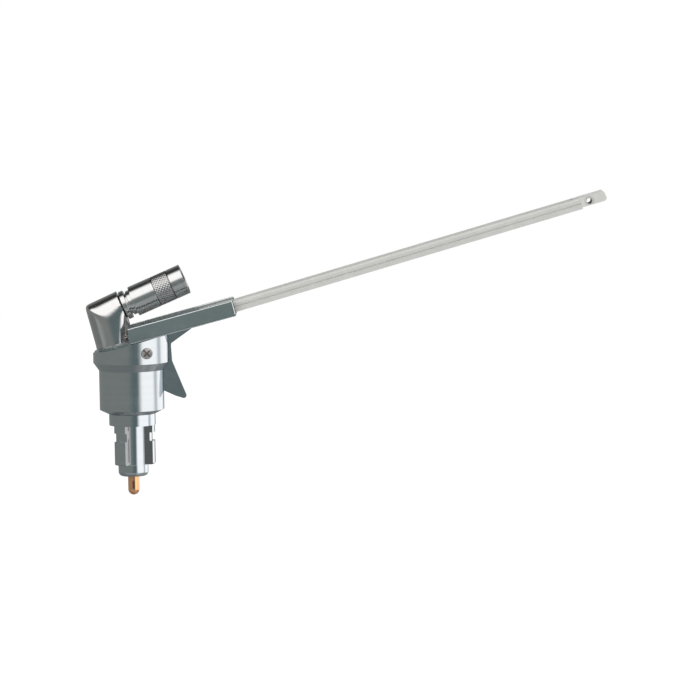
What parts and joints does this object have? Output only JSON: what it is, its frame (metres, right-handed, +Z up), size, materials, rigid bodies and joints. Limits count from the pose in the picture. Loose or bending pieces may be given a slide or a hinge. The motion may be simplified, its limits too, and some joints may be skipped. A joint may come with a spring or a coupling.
{
  "type": "inflating head with handle",
  "caption": "Hand-held air filling head with a bayonet nose, a probe pin, a trigger, a quick-coupling hose socket on an elbow and a long flat handle.",
  "frame": {"origin": "on the nose's axis, at the underside of the collar above the bayonet nose", "axes": "+Z up the valve body's axis away from the nose, +X towards the side that the handle points to, +Y to complete a right-handed frame"},
  "size_m": [0.4244, 0.0616, 0.2415],
  "materials": {
    "cast_alloy": "satin, fine turned grain",
    "nose_alloy": "satin, turned",
    "chromed_zinc": "polished, slightly worn",
    "plated_steel": "satin plated",
    "arm_steel": "satin grey",
    "trigger_steel": "satin grey",
    "bar_alloy": "matt anodised",
    "end_plastic": "matt, slightly dusty",
    "copper_alloy": "polished copper colour",
    "brass_bush": "turned",
    "screw_steel": "plain, cross slot worn",
    "bright_steel": "ground",
    "spring_steel": "drawn wire",
    "black_rubber": "moulded"
  },
  "bodies": {
    "body": {"valve_body": "cast_alloy", "nose_spigot": "nose_alloy", "nose_o_ring": "black_rubber", "tip_bush": "brass_bush", "valve_seat_ring": "brass_bush", "gland_bush": "brass_bush", "gland_o_rings": "black_rubber", "plunger_spring": "spring_steel", "pivot_screw": "screw_steel", "channel_arm": "arm_steel", "arm_screws": "screw_steel", "gallery_o_rings": "black_rubber", "elbow_head": "chromed_zinc", "elbow_screws": "screw_steel", "handle_bar": "bar_alloy", "bar_screws": "screw_steel", "end_block": "end_plastic", "end_block_pins": "bright_steel", "neck_washer": "black_rubber", "coupling_neck": "plated_steel", "socket_body": "plated_steel", "socket_o_ring": "black_rubber", "locking_balls": "bright_steel", "sleeve_spring": "spring_steel", "poppet_spring": "spring_steel"},
    "trigger": {"trigger": "trigger_steel"},
    "plunger": {"plunger": "bright_steel", "valve_disc": "black_rubber", "probe_pin": "copper_alloy", "rod_clip": "spring_steel", "spring_washer": "plated_steel"},
    "sleeve": {"locking_sleeve": "plated_steel"},
    "poppet": {"check_poppet": "brass_bush", "poppet_seal": "black_rubber"}
  },
  "joints": [
    {"name": "trigger_swing", "type": "hinge", "parent": "body", "child": "trigger", "pos_m": [0.0142, 0, 0.0602], "axis": [0, 1, 0], "range_deg": [0, 12]},
    {"name": "plunger_lift", "type": "slide", "parent": "body", "child": "plunger", "axis": [0, 0, 1], "range_m": [0, 0.00304], "stiffness_N_per_m": 1000, "springref_m": -0.005, "deforming": ["plunger_spring"]},
    {"name": "sleeve_pull", "type": "slide", "parent": "body", "child": "sleeve", "axis": [-0.9205, 0, -0.3907], "range_m": [0, 0.0044], "stiffness_N_per_m": 1200, "springref_m": -0.004, "deforming": ["sleeve_spring"]},
    {"name": "poppet_open", "type": "slide", "parent": "body", "child": "poppet", "axis": [-0.9205, 0, -0.3907], "range_m": [0, 0.003], "stiffness_N_per_m": 300, "springref_m": -0.003, "deforming": ["poppet_spring"]}
  ],
  "couplings": [
    {"joint": "trigger_swing", "follows": "plunger_lift", "rad_per_m": 68.801}
  ]
}
